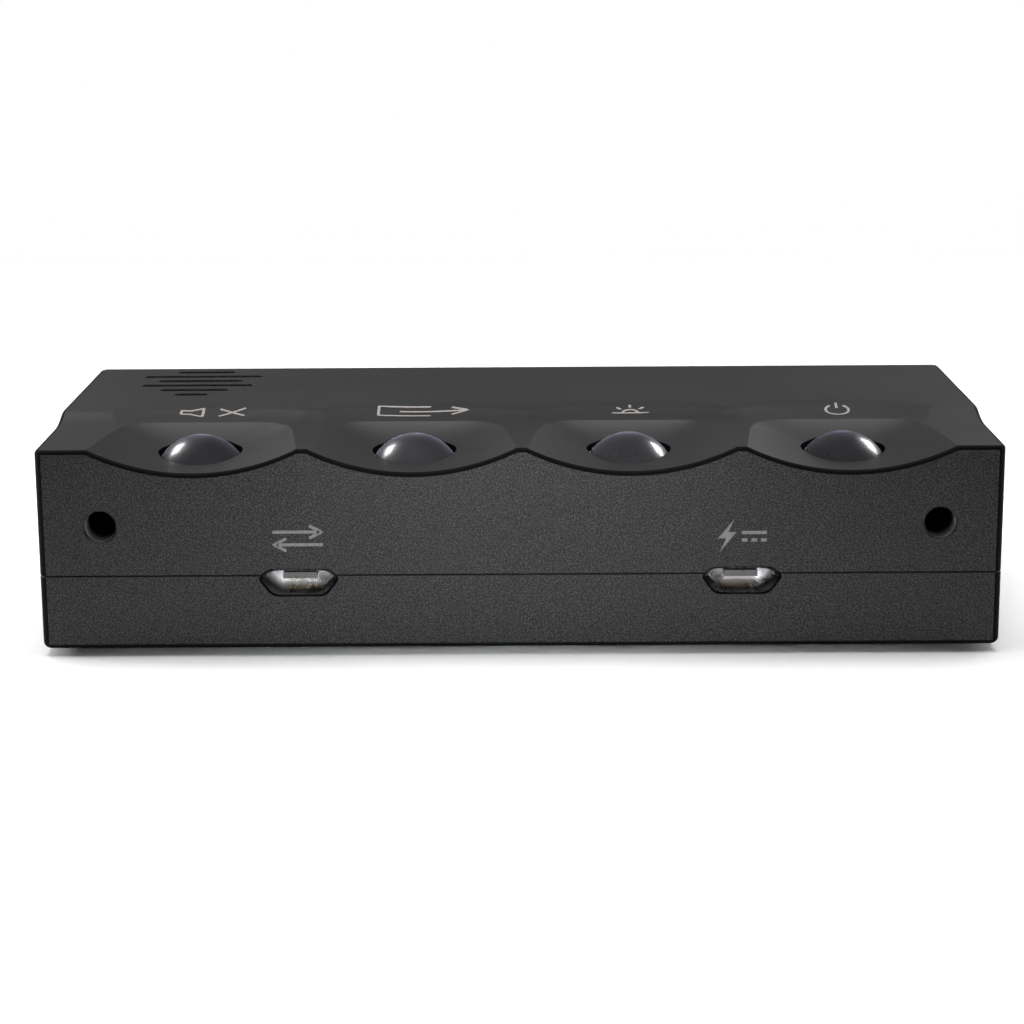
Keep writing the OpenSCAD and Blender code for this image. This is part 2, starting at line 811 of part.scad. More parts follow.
upper_case();
lower_case();
case_screws();
rubber_feet();
main_board();
board_screws();
for (i = [0:3]) {
    ball(i);
    cradle(i);
    stem(i);
    dome(i);
}
switch_housings();
button_leds();
usb_shell(-usb_offset);  // usb_data_shell
usb_tongue(-usb_offset);  // usb_data_tongue
usb_shell(usb_offset);  // usb_power_shell
usb_tongue(usb_offset);  // usb_power_tongue
usb_contacts();
headphone_large_housing();
headphone_large_bush();
headphone_large_nut();
headphone_large_contacts();
headphone_small_housing();
headphone_small_bush();
headphone_small_nut();
headphone_small_contacts();
line_sleeve(0);  // line_left_sleeve
line_insulator(0);  // line_left_insulator
line_contact(0);  // line_left_contact
line_sleeve(1);  // line_right_sleeve
line_insulator(1);  // line_right_insulator
line_contact(1);  // line_right_contact
line_housings();
optical_housing();
optical_shutter();
optical_hinge_pin();
optical_spring();
optical_emitter();
processor_chip();
usb_interface_chip();
converter_chip();
amplifier_chips();
output_relays();
electrolytic_capacitors();
film_capacitors();
power_inductors();
clock_crystals();
small_passives();
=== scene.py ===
"""Looks of the compact headphone amplifier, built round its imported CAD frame."""
import json
import math

import bmesh
import bpy
from mathutils import Matrix, Vector


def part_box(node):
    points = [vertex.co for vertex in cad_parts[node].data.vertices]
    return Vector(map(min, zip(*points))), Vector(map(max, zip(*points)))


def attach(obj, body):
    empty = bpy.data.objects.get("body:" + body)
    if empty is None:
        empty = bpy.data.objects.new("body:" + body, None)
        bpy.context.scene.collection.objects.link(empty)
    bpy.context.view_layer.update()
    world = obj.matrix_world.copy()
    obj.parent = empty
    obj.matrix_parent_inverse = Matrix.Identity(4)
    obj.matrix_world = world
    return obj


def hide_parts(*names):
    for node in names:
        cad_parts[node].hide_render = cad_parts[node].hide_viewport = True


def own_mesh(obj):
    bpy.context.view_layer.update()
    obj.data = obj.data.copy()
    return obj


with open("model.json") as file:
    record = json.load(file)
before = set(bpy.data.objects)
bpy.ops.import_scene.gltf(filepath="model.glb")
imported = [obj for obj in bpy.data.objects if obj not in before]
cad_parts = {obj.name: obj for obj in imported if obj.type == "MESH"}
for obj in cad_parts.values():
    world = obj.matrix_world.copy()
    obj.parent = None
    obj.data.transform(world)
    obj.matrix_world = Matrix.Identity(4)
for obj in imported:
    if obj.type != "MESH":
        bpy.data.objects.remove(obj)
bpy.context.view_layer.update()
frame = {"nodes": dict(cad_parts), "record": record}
MM = 0.001
BUTTONS = ["mute", "output", "dim", "power"]

# ---------- sizes, in millimetres, from the frame ----------


def box_mm(node):
    low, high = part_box(node)
    return [c / MM for c in low], [c / MM for c in high]


UPPER_LOW, UPPER_HIGH = box_mm("upper_case")
LOWER_LOW, _ = box_mm("lower_case")
SKIN_IN = 0.02                      # the cases' skins lie this far inside the solids, so labels fit
HALF_W = UPPER_HIGH[0] - SKIN_IN
FRONT = UPPER_LOW[1] + SKIN_IN
REAR = UPPER_HIGH[1] - SKIN_IN
TOP = UPPER_HIGH[2] - SKIN_IN
BOTTOM = LOWER_LOW[2]
JOINT = BOTTOM + 7.86               # level of the joint line between the two halves
GROOVE = 0.1                        # bevel of each half at the joint line
CORNER = 1.0                        # radius of the upright edges
EDGE = 0.42                         # radius of the long top edges
FOOT_EDGE = 0.7                     # radius of the long bottom edges
WALL = 2.2
GRID = 0.26                         # spacing of the fine grid over the slope and scoops
REAR_GRID = 2.0                     # spacing of its lines over the flat rear of the top plane

STEP_DROP = 1.0                     # from the top plane down to the ledge
STEP_RUN = 6.0                      # length of the S-shaped slope between them
STEP_FOOT = UPPER_LOW[1] + 12.0     # where the straight slope starts
STEP_LOW_RUN = 0.75 * STEP_RUN      # how far the slope bends upwards before it bends back
STEP_BEND = 2 * math.atan(STEP_DROP / STEP_RUN)
STEP_LOW_ARC = STEP_LOW_RUN / math.sin(STEP_BEND)
STEP_HIGH_ARC = (STEP_RUN - STEP_LOW_RUN) / math.sin(STEP_BEND)
LEDGE = TOP - STEP_DROP
ROUND_STEP_FOOT = 22.85 - STEP_RUN  # radius of the slope's foot round each button
ROUND_STEP_Y = UPPER_LOW[1] - 2.1   # centre of that radius

SCOOP_R = 24.5                      # a scoop's radius, seen from the front
SCOOP_END_R = 15.4                  # radius of its rear end, seen from the side
SCOOP_SQUARE = 2.0                  # how squarely its sides turn into its rear end
SCOOP_LIMIT_X = 14                  # offsets from its ball past which nothing is scooped
SCOOP_LIMIT_Y = SCOOP_END_R - 4
SCOOP_TILT = math.radians(3.2)
SCOOP_DEPTH = 2.1                   # below the ledge, at the ball's centre
SEAT = UPPER_HIGH[2] - STEP_DROP - SCOOP_DEPTH
CLEAR = UPPER_HIGH[2] + 5           # a level above everything, for places outside the scoops

HOLE_R = 4.8                        # each ball's hole at its lower edge
MOUTH_R = 4.45                      # and at its mouth
GUIDE_R = 5.15                      # the guide under it, in which the cradle slides
GUIDE_WALL = 1.1
GUIDE_END = 10.6                    # level of the guide's lower end


def centre_mm(node):
    low, high = box_mm(node)
    return [(a + b) / 2 for a, b in zip(low, high)]


BALLS = [centre_mm(name + "_ball") for name in BUTTONS]
BALL_R = (box_mm("mute_ball")[1][0] - box_mm("mute_ball")[0][0]) / 2
BALL_Y = BALLS[0][1]
LIP = BALLS[0][2] + 1.5             # underside of the lip that holds the balls in
MOUTH = LIP + 1                     # where a hole has narrowed to its mouth
RECORD_MOUNTS = {m["name"]: m for m in frame["record"]["mounts"]}


def mount_mm(name):
    return [c / MM for c in RECORD_MOUNTS[name]["pos_m"]]


# ---------- the case's top surface as a formula ----------


def s_slope(run):
    """Height of the S-shaped slope at a distance past its foot."""
    if run <= 0:
        return LEDGE
    if run >= STEP_RUN:
        return TOP
    if run < STEP_LOW_RUN:
        return LEDGE + STEP_LOW_ARC - math.sqrt(STEP_LOW_ARC ** 2 - run ** 2)
    return TOP - STEP_HIGH_ARC + math.sqrt(STEP_HIGH_ARC ** 2 - (STEP_RUN - run) ** 2)


def scoop_height(dx, dy):
    """Height of one scoop at an offset from its ball: a channel whose rear end rises."""
    if abs(dx) > SCOOP_LIMIT_X or dy > SCOOP_LIMIT_Y:
        return CLEAR
    side = SCOOP_R - math.sqrt(SCOOP_R ** 2 - dx ** 2)
    z = 0.0
    for _ in range(4):
        along = max(dy * math.cos(SCOOP_TILT) + z * math.sin(SCOOP_TILT), 0.0)
        end = SCOOP_END_R - math.sqrt(SCOOP_END_R ** 2 - along ** 2)
        rise = (side ** SCOOP_SQUARE + end ** SCOOP_SQUARE) ** (1 / SCOOP_SQUARE)
        z = (dy * math.sin(SCOOP_TILT) + rise) / math.cos(SCOOP_TILT)
    return SEAT + z


def step_height(x, y):
    """Height of the ledge, the slope and the top plane, without the scoops."""
    z = s_slope(y - STEP_FOOT)
    for ball in BALLS:
        z = min(z, s_slope(math.hypot(x - ball[0], y - ROUND_STEP_Y) - ROUND_STEP_FOOT))
    return z


def scoops_height(x, y):
    return min(scoop_height(x - ball[0], y - BALL_Y) for ball in BALLS)


def top_height(x, y):
    return min(step_height(x, y), scoops_height(x, y))


def in_scoop(x, y):
    return scoops_height(x, y) < step_height(x, y)


def rim_reach(dy):
    """How far to the side of its ball a scoop's rim lies on the ledge."""
    low, high = 6.0, 13.0
    for _ in range(30):
        middle = (low + high) / 2
        if scoop_height(middle, dy) < LEDGE:
            low = middle
        else:
            high = middle
    return low


# ---------- mesh helpers ----------


def steps(low, high, size):
    """Evenly spaced values from low to high, at most `size` apart."""
    n = max(1, math.ceil((high - low) / size))
    return [low + (high - low) * i / n for i in range(n + 1)]


def new_object(name, verts, faces, material=None):
    mesh = bpy.data.meshes.new(name)
    mesh.from_pydata([[c * MM for c in v] for v in verts], [], faces)
    mesh.validate()
    ob = bpy.data.objects.new(name, mesh)
    bpy.context.scene.collection.objects.link(ob)
    if material:
        mesh.materials.append(material)
    return ob


def tidy(ob, angle=30):
    """Welds, turns the faces outwards and shades smooth up to an angle."""
    weld = 0.001 * MM
    bm = bmesh.new()
    bm.from_mesh(ob.data)
    bmesh.ops.remove_doubles(bm, verts=bm.verts, dist=weld)
    bmesh.ops.dissolve_degenerate(bm, edges=bm.edges, dist=weld / 2)
    bmesh.ops.recalc_face_normals(bm, faces=bm.faces)
    bm.to_mesh(ob.data)
    bm.free()
    for poly in ob.data.polygons:
        poly.use_smooth = True
    ob.data.set_sharp_from_angle(angle=math.radians(angle))
    return ob


def join(name, obs):
    """Joins several objects into one and gives it a name."""
    bm = bmesh.new()
    for ob in obs:
        bm.from_mesh(ob.data)
    mesh = bpy.data.meshes.new(name)
    bm.to_mesh(mesh)
    bm.free()
    for material in obs[0].data.materials:
        mesh.materials.append(material)
    joined = bpy.data.objects.new(name, mesh)
    bpy.context.scene.collection.objects.link(joined)
    for ob in obs:
        bpy.data.objects.remove(ob)
    return joined


def boolean(ob, cutter, operation):
    """Applies one exact boolean and removes the cutter."""
    modifier = ob.modifiers.new("cut", "BOOLEAN")
    modifier.operation = operation
    modifier.solver = "EXACT"
    modifier.use_self = True
    modifier.object = cutter
    graph = bpy.context.evaluated_depsgraph_get()
    mesh = bpy.data.meshes.new_from_object(ob.evaluated_get(graph))
    ob.modifiers.remove(modifier)
    old = ob.data
    ob.data = mesh
    bpy.data.meshes.remove(old)
    bpy.data.objects.remove(cutter)


def loft(name, rings, material=None, smooth_angle=30):
    """Skins a list of rings that have equal numbers of points, and closes both ends."""
    n = len(rings[0])
    verts = [v for ring in rings for v in ring]
    faces = []
    for k in range(len(rings) - 1):
        for i in range(n):
            a = k * n + i
            b = k * n + (i + 1) % n
            faces.append((a, b, b + n, a + n))
    faces.append(tuple(reversed(range(n))))
    faces.append(tuple(range((len(rings) - 1) * n, len(rings) * n)))
    return tidy(new_object(name, verts, faces, material), smooth_angle)


def cuboid(low, high):
    x0, y0, z0 = low
    x1, y1, z1 = high
    rings = [[(x0, y0, z), (x1, y0, z), (x1, y1, z), (x0, y1, z)] for z in (z0, z1)]
    return loft("block", rings)


def circle_points(r, n):
    return [(r * math.cos(2 * math.pi * i / n), r * math.sin(2 * math.pi * i / n)) for i in range(n)]


def turned(name, centre, direction, profile, material=None, segments=64):
    """Turns a profile of (radius, distance) pairs round an axis through `centre`."""
    axis = Vector(direction).normalized()
    side = axis.orthogonal().normalized()
    up = axis.cross(side)
    rings = []
    for r, along in profile:
        rings.append([tuple(Vector(centre) + axis * along + side * x + up * y)
                      for x, y in circle_points(r, segments)])
    return loft(name, rings, material)


def rod(centre, direction, r, length):
    return turned("rod", centre, direction, [(r, 0), (r, length)], segments=48)


# ---------- node materials ----------


class Shader:
    """A small helper that adds and links shader nodes."""

    def __init__(self, name, roughness=0.5, metallic=0.0, specular=0.5):
        self.material = bpy.data.materials.new(name)
        self.material.use_nodes = True
        self.tree = self.material.node_tree
        self.bsdf = self.tree.nodes["Principled BSDF"]
        self.bsdf.inputs["Roughness"].default_value = roughness
        self.bsdf.inputs["Metallic"].default_value = metallic
        self.bsdf.inputs["Specular IOR Level"].default_value = specular
        self.coord = self.tree.nodes.new("ShaderNodeTexCoord").outputs["Object"]

    def add(self, kind, **inputs):
        node = self.tree.nodes.new(kind)
        for name, value in inputs.items():
            self.put(node, name.replace("_", " "), value)
        return node

    def put(self, node, name, value):
        socket = node.inputs[name]
        if isinstance(value, bpy.types.NodeSocket):
            self.tree.links.new(value, socket)
        else:
            socket.default_value = value

    def noise(self, scale, detail=2.0, rough=0.5, stretch=None):
        """Noise with a feature size of about 1/scale metres."""
        vector = self.coord
        if stretch:
            mapping = self.add("ShaderNodeMapping", Vector=self.coord, Scale=stretch)
            vector = mapping.outputs["Vector"]
        node = self.add("ShaderNodeTexNoise", Vector=vector, Scale=scale, Detail=detail,
                        Roughness=rough)
        return node.outputs["Fac"]

    def voronoi(self, scale):
        return self.add("ShaderNodeTexVoronoi", Vector=self.coord, Scale=scale).outputs["Distance"]

    def spread(self, value, low, high, out_low=0.0, out_high=1.0):
        node = self.add("ShaderNodeMapRange")
        self.put(node, "Value", value)
        self.put(node, "From Min", low)
        self.put(node, "From Max", high)
        self.put(node, "To Min", out_low)
        self.put(node, "To Max", out_high)
        return node.outputs["Result"]

    def math(self, operation, a, b=0.0):
        node = self.tree.nodes.new("ShaderNodeMath")
        node.operation = operation
        for socket, value in zip(node.inputs, (a, b)):
            if isinstance(value, bpy.types.NodeSocket):
                self.tree.links.new(value, socket)
            else:
                socket.default_value = value
        return node.outputs[0]

    def mix(self, factor, a, b):
        node = self.tree.nodes.new("ShaderNodeMix")
        node.data_type = "RGBA"
        for socket, value in ((node.inputs[0], factor), (node.inputs[6], a), (node.inputs[7], b)):
            if isinstance(value, bpy.types.NodeSocket):
                self.tree.links.new(value, socket)
            else:
                socket.default_value = value if isinstance(value, float) else (*value, 1.0)
        return node.outputs[2]

    def bump(self, height, strength, distance):
        node = self.add("ShaderNodeBump", Height=height, Strength=strength, Distance=distance)
        self.tree.links.new(node.outputs["Normal"], self.bsdf.inputs["Normal"])

    def upward(self):
        """1 on faces that look up, 0 on upright and downward ones."""
        normal = self.tree.nodes.new("ShaderNodeNewGeometry").outputs["Normal"]
        parts = self.tree.nodes.new("ShaderNodeSeparateXYZ")
        self.tree.links.new(normal, parts.inputs[0])
        return self.spread(parts.outputs["Z"], 0.5, 0.85)


def blasted_black():
    """Black anodised aluminium, bead-blasted: a fine bright grain on the upright faces, and a
    smoother satin on the faces that look up."""
    s = Shader("anodised_case", specular=0.35)
    grain = s.noise(9000, 1.0, 0.6)
    fleck = s.noise(5200, 2.0, 0.5)
    cloud = s.noise(55, 3.0, 0.6)
    speckle = s.math("ADD", s.math("MULTIPLY", grain, 0.6), s.math("MULTIPLY", fleck, 0.4))
    up = s.upward()
    rough_face = s.mix(s.spread(speckle, 0.46, 0.6), (0.0007, 0.0007, 0.0008), (0.045, 0.045, 0.0456))
    satin_face = s.mix(s.spread(speckle, 0.3, 0.7), (0.0125, 0.0125, 0.0127), (0.0195, 0.0195, 0.0198))
    colour = s.mix(up, rough_face, satin_face)
    shade = s.spread(cloud, 0.3, 0.7, 0.92, 1.08)
    toned = s.add("ShaderNodeVectorMath")
    toned.operation = "SCALE"
    s.put(toned, "Vector", colour)
    s.put(toned, "Scale", shade)
    s.put(s.bsdf, "Base Color", toned.outputs["Vector"])
    s.put(s.bsdf, "Roughness", s.spread(cloud, 0.3, 0.7, 0.42, 0.5))
    s.put(s.bsdf, "Metallic", 0.15)
    s.bump(speckle, 0.35, 0.00005)
    return s.material


def edge_painted_shade():
    """The narrow rounded edges: much darker than the blasted faces, a painted shade and painted dark
    reflection.
    """
    s = Shader("anodised_edge_painted_shade", specular=0.03)
    grain = s.noise(3500, 2.0)
    s.put(s.bsdf, "Base Color", s.mix(grain, (0.0015, 0.0015, 0.0015), (0.005, 0.005, 0.005)))
    s.put(s.bsdf, "Roughness", s.spread(grain, 0.3, 0.7, 0.45, 0.6))
    s.bump(grain, 0.1, 0.00002)
    return s.material


def bore_painted_light_and_shade():
    """Walls of the fixing holes: painted light, pale at the mouth, and painted shade, black further in,
    with turning marks.
    """
    s = Shader("anodised_bore_painted_light", specular=0.3)
    marks = s.noise(900, 2.0, 0.5, (1, 6, 1))
    place = s.tree.nodes.new("ShaderNodeSeparateXYZ")
    s.tree.links.new(s.coord, place.inputs[0])
    # painted light near the mouth, fading to painted shade deeper in the bore
    depth = s.spread(place.outputs["Y"], (FRONT + 0.6) * MM, (FRONT + 2.8) * MM)
    painted_lit_mouth = s.mix(marks, (0.3, 0.3, 0.302), (0.46, 0.46, 0.462))
    s.put(s.bsdf, "Base Color", s.mix(depth, painted_lit_mouth, (0.004, 0.004, 0.004)))
    s.put(s.bsdf, "Roughness", s.spread(marks, 0.3, 0.7, 0.28, 0.4))
    s.bump(marks, 0.1, 0.00003)
    return s.material


def metal(name, colour, roughness, grain_scale=900, stretch=(1, 1, 1), depth=0.08):
    """Plated or drawn metal with faint streaks and small tone changes."""
    s = Shader(name, metallic=1.0, roughness=roughness)
    streak = s.noise(grain_scale, 3.0, 0.6, stretch)
    tone = s.noise(140, 2.0)
    dark = tuple(c * 0.72 for c in colour)
    s.put(s.bsdf, "Base Color", s.mix(s.spread(tone, 0.25, 0.75), dark, colour))
    s.put(s.bsdf, "Roughness", s.spread(streak, 0.3, 0.7, roughness * 0.7, roughness * 1.4))
    s.bump(streak, depth, 0.00003)
    return s.material


def plastic(name, colour, roughness, grain_scale=2500, depth=0.12, specular=0.5):
    """Moulded plastic: fine texture, slight tone changes."""
    s = Shader(name, roughness=roughness, specular=specular)
    grain = s.noise(grain_scale, 2.0)
    tone = s.noise(160, 3.0)
    dark = tuple(c * 0.75 for c in colour)
    light = tuple(min(1.0, c * 1.15 + 0.004) for c in colour)
    s.put(s.bsdf, "Base Color", s.mix(s.spread(tone, 0.3, 0.7), dark, light))
    s.put(s.bsdf, "Roughness", s.spread(grain, 0.3, 0.7, roughness * 0.85, roughness * 1.15))
    s.bump(grain, depth, 0.00003)
    return s.material


def rubber(name):
    """Foot rubber: matt, with a pimpled surface and dusty patches."""
    s = Shader(name, roughness=0.85, specular=0.2)
    pimples = s.voronoi(1800)
    dust = s.noise(320, 4.0, 0.7)
    colour = s.mix(s.spread(dust, 0.45, 0.8), (0.012, 0.012, 0.012), (0.04, 0.038, 0.035))
    s.put(s.bsdf, "Base Color", colour)
    s.bump(pimples, 0.3, 0.0001)
    return s.material


def smoky_ball():
    """Polished translucent ball: smoky grey-blue, with a lavender sheen at its rim."""
    s = Shader("smoky_ball", roughness=0.3, specular=0.5)
    cloud = s.noise(260, 3.0, 0.6)
    colour = s.mix(s.spread(cloud, 0.25, 0.75), (0.06, 0.06, 0.066), (0.09, 0.09, 0.1))
    s.put(s.bsdf, "Base Color", colour)
    s.put(s.bsdf, "Roughness", s.spread(cloud, 0.3, 0.7, 0.26, 0.34))
    s.put(s.bsdf, "Sheen Weight", 0.6)
    s.put(s.bsdf, "Sheen Roughness", 0.35)
    s.put(s.bsdf, "Sheen Tint", (0.72, 0.68, 1.0, 1.0))
    s.put(s.bsdf, "Coat Weight", 0.35)
    s.put(s.bsdf, "Coat Roughness", 0.12)
    s.bump(s.noise(1500, 2.0), 0.02, 0.00002)
    return s.material


def clear_plastic():
    s = Shader("clear_plastic", roughness=0.15)
    cloud = s.noise(400, 2.0)
    s.put(s.bsdf, "Base Color", s.mix(cloud, (0.75, 0.78, 0.82), (0.88, 0.9, 0.92)))
    s.put(s.bsdf, "Transmission Weight", 0.85)
    s.put(s.bsdf, "Roughness", s.spread(cloud, 0.3, 0.7, 0.1, 0.25))
    s.bump(cloud, 0.05, 0.00005)
    return s.material


def circuit_board():
    """Green solder mask over faint copper tracks."""
    s = Shader("circuit_board", roughness=0.38)
    track = s.add("ShaderNodeTexBrick", Vector=s.coord, Scale=260.0, Mortar_Size=0.03)
    mask = s.noise(700, 3.0)
    green = s.mix(s.spread(mask, 0.3, 0.7), (0.008, 0.06, 0.03), (0.014, 0.085, 0.04))
    s.put(s.bsdf, "Base Color", s.mix(track.outputs["Fac"], green, (0.03, 0.13, 0.06)))
    s.bump(track.outputs["Fac"], 0.2, 0.00004)
    return s.material


def printed(name, colour, rough=0.55):
    """Label ink: thin, slightly uneven."""
    s = Shader(name, roughness=rough, specular=0.3)
    patch = s.noise(3800, 2.0)
    dark = tuple(c * 0.7 for c in colour)
    s.put(s.bsdf, "Base Color", s.mix(s.spread(patch, 0.3, 0.65), dark, colour))
    s.bump(patch, 0.15, 0.00002)
    return s.material


CASE = blasted_black()
# painted shade: the darker edge material for the rounded edges, corners, joint groove and the hole walls
# under the balls
CASE_EDGE_SHADE = edge_painted_shade()
# painted light at the fixing holes' mouths and painted shade further in
CASE_BORE = bore_painted_light_and_shade()
CASE_MATERIALS = [CASE, CASE_EDGE_SHADE, CASE_BORE]
EDGE_SHADE_INDEX = 1
BORE_INDEX = 2
CASE_SMOOTH_ANGLE = 19              # in degrees; sharper edges stay crisp
INK = printed("label_ink", (0.36, 0.335, 0.32))
FRONT_INK = printed("front_label_ink", (0.22, 0.22, 0.22))
BALL = smoky_ball()
TONGUE = plastic("socket_tongue", (0.1, 0.1, 0.102), 0.3)
NODE_MATERIALS = {"usb_data_tongue": TONGUE, "usb_power_tongue": TONGUE}
SLOT_MATERIALS = {
    "case": CASE,
    "black_steel": metal("blackened_steel", (0.06, 0.06, 0.065), 0.42),
    "steel": metal("plated_steel", (0.66, 0.66, 0.68), 0.24),
    "shell_steel": metal("socket_steel", (0.44, 0.44, 0.45), 0.26, 700, (1, 0.15, 1)),
    "spring_steel": metal("spring_steel", (0.7, 0.67, 0.6), 0.3),
    "foot_rubber": rubber("foot_rubber"),
    "board": circuit_board(),
    "black_plastic": plastic("black_plastic", (0.02, 0.02, 0.021), 0.45),
    "white_plastic": plastic("white_plastic", (0.78, 0.77, 0.74), 0.3),
    "red_plastic": plastic("red_plastic", (0.5, 0.02, 0.018), 0.3),
    "shutter_plastic": plastic("shutter_plastic", (0.045, 0.045, 0.048), 0.4),
    "ball": BALL,
    "cradle": clear_plastic(),
    "stem": plastic("stem_plastic", (0.04, 0.04, 0.042), 0.4),
    "led": plastic("lamp_lens", (0.9, 0.88, 0.75), 0.2),
    "gold": metal("gold_plating", (0.9, 0.66, 0.26), 0.18),
    "emitter": plastic("emitter_plastic", (0.5, 0.03, 0.025), 0.15),
    "chip": plastic("chip_epoxy", (0.018, 0.018, 0.019), 0.55, 1800),
    "relay": plastic("relay_case", (0.8, 0.79, 0.72), 0.35),
    "capacitor_sleeve": plastic("capacitor_sleeve", (0.05, 0.07, 0.2), 0.28),
    "film_red": plastic("film_capacitor", (0.5, 0.06, 0.04), 0.3),
    "ferrite": plastic("ferrite", (0.06, 0.06, 0.062), 0.6, 1500, 0.4),
    "passive": plastic("ceramic_passive", (0.36, 0.27, 0.18), 0.45),
}


def paint_cad_nodes():
    """Gives each CAD node the material of its slot, or its own where it has one."""
    for part in frame["record"]["subparts"]:
        ob = frame["nodes"][part["node"]]
        material = NODE_MATERIALS.get(part["node"], SLOT_MATERIALS[part["material_slot"]])
        ob.data.materials.clear()
        ob.data.materials.append(material)


# ---------- the two case halves ----------


def outline(inset, x_lines, y_lines):
    """Rounded outline of the case, anticlockwise, moved in by up to the corner radius. The grid's
    lines give the places of the points along the straight sides."""
    grow = CORNER - inset
    x0, x1, y0, y1 = x_lines[0], x_lines[-1], y_lines[0], y_lines[-1]
    turn = [math.radians(15 * k) for k in range(1, 6)]
    points = [(x, y0 - grow) for x in x_lines]
    points += [(x1 + grow * math.sin(a), y0 - grow * math.cos(a)) for a in turn]
    points += [(x1 + grow, y) for y in y_lines]
    points += [(x1 + grow * math.cos(a), y1 + grow * math.sin(a)) for a in turn]
    points += [(x, y1 + grow) for x in reversed(x_lines)]
    points += [(x0 - grow * math.sin(a), y1 + grow * math.cos(a)) for a in turn]
    points += [(x0 - grow, y) for y in reversed(y_lines)]
    points += [(x0 - grow * math.cos(a), y0 - grow * math.sin(a)) for a in turn]
    return points


def edge_drop(inset, radius):
    """How far a rounded edge lies below its face, at a distance in from the side."""
    if inset >= radius:
        return 0.0
    return radius - math.sqrt(radius ** 2 - (radius - inset) ** 2)


def rim_crossing(a, b):
    """Where the line from a to b crosses a scoop's rim, as a fraction and a point."""
    low, high = 0.0, 1.0
    start = in_scoop(*a)
    for _ in range(20):
        t = (low + high) / 2
        if in_scoop(a[0] + (b[0] - a[0]) * t, a[1] + (b[1] - a[1]) * t) == start:
            low = t
        else:
            high = t
    return low, (a[0] + (b[0] - a[0]) * low, a[1] + (b[1] - a[1]) * low)


def pull_to_rims(points, nx, ny):
    """Moves the grid points nearest to the scoops' rims onto them; returns those points."""
    inside = [in_scoop(*point) for point in points]
    best = {}
    for j in range(ny - 1):
        for i in range(nx - 1):
            a = j * nx + i
            for b in (a + 1, a + nx):
                if inside[a] == inside[b]:
                    continue
                t, point = rim_crossing(points[a], points[b])
                near, distance = (a, t) if t < 0.5 else (b, 1 - t)
                at_edge = near % nx in (0, nx - 1) or near // nx in (0, ny - 1)
                if not at_edge and distance < best.get(near, (1.0, None))[0]:
                    best[near] = (distance, point)
    for index, (_, point) in best.items():
        points[index] = point
    return set(best)


def case_grid():
    """Lines of the grid over the top: fine over the slope and scoops, and one where each scoop's
    rim meets the front edge."""
    x_in = HALF_W - CORNER
    reach = rim_reach(FRONT + CORNER / 2 - BALL_Y)
    stops = sorted([-x_in, x_in] + [ball[0] + side * reach for ball in BALLS for side in (-1, 1)])
    x_lines = [stops[0]]
    for a, b in zip(stops, stops[1:]):
        x_lines += steps(a, b, GRID)[1:]
    fine_end = STEP_FOOT + STEP_RUN + 0.5
    y_lines = steps(FRONT + CORNER, fine_end, GRID)[:-1] + steps(fine_end, REAR - CORNER, REAR_GRID)
    return x_lines, y_lines


def grid_faces(nx, ny, rim):
    """Faces of the grid. A square that a rim crosses is split along it."""
    faces = []
    for j in range(ny - 1):
        for i in range(nx - 1):
            a, b = j * nx + i, j * nx + i + 1
            c, d = b + nx, a + nx
            if a in rim and c in rim:
                faces += [(a, b, c), (a, c, d)]
            elif b in rim and d in rim:
                faces += [(a, b, d), (b, c, d)]
            else:
                faces.append((a, b, c, d))
    return faces


def side_rings(x_lines, y_lines):
    """Rings from the grid's edge, over the rounded top edge and down to the joint. Each comes
    with whether the band below it has the dark edge material, which paints shade on the rounded edge and
    the joint groove."""
    rounding = [round(EDGE * (1 - math.cos(math.radians(a))), 4) for a in (90, 75, 60, 45, 30, 15)]
    rings = []
    for inset in [CORNER, 0.75, 0.5] + rounding + [0.0]:
        drop = edge_drop(inset, EDGE)
        ring = [(x, y, top_height(x, y) - drop) for x, y in outline(inset, x_lines, y_lines)]
        rings.append((ring, 0 < inset <= EDGE))
    for inset, z, dark in ((0.0, JOINT + GROOVE, True), (GROOVE, JOINT, False)):
        rings.append(([(x, y, z) for x, y in outline(inset, x_lines, y_lines)], dark))
    return rings


def upper_skin():
    """Solid block of the upper case with its slope and scoops."""
    x_lines, y_lines = case_grid()
    nx, ny = len(x_lines), len(y_lines)
    points = [(x, y) for y in y_lines for x in x_lines]
    rim = pull_to_rims(points, nx, ny)
    verts = [(x, y, top_height(x, y)) for x, y in points]
    faces = grid_faces(nx, ny, rim)
    rings = side_rings(x_lines, y_lines)
    start, n = len(verts), len(rings[0][0])
    dark_faces = []
    for k, (ring, dark) in enumerate(rings):
        verts += ring
        if k == len(rings) - 1:
            break
        for i in range(n):
            a = start + k * n + i
            b = start + k * n + (i + 1) % n
            if dark:
                dark_faces.append(len(faces))
            faces.append((a, a + n, b + n, b))
    faces.append(tuple(reversed(range(len(verts) - n, len(verts)))))
    ob = new_object("upper_case_skin", verts, faces)
    for material in CASE_MATERIALS:
        ob.data.materials.append(material)
    # the rounded top edge and the joint groove get painted shade
    for index in dark_faces:
        ob.data.polygons[index].material_index = EDGE_SHADE_INDEX
    darken_corners(ob)
    return ob


def darken_corners(ob):
    """Gives the upright corners and the rounded bottom edge the darker edge material: painted shade on
    the corners and on the downward-facing bottom edge.
    """
    for poly in ob.data.polygons:
        n = poly.normal
        upright_corner = abs(n.x) > 0.25 and abs(n.y) > 0.25 and abs(n.z) < 0.2
        bottom_edge = -0.97 < n.z < -0.2
        if upright_corner or bottom_edge:
            poly.material_index = EDGE_SHADE_INDEX


USB_Z = mount_mm("usb_data")[2]
USB_X = [mount_mm("usb_data")[0], mount_mm("usb_power")[0]]


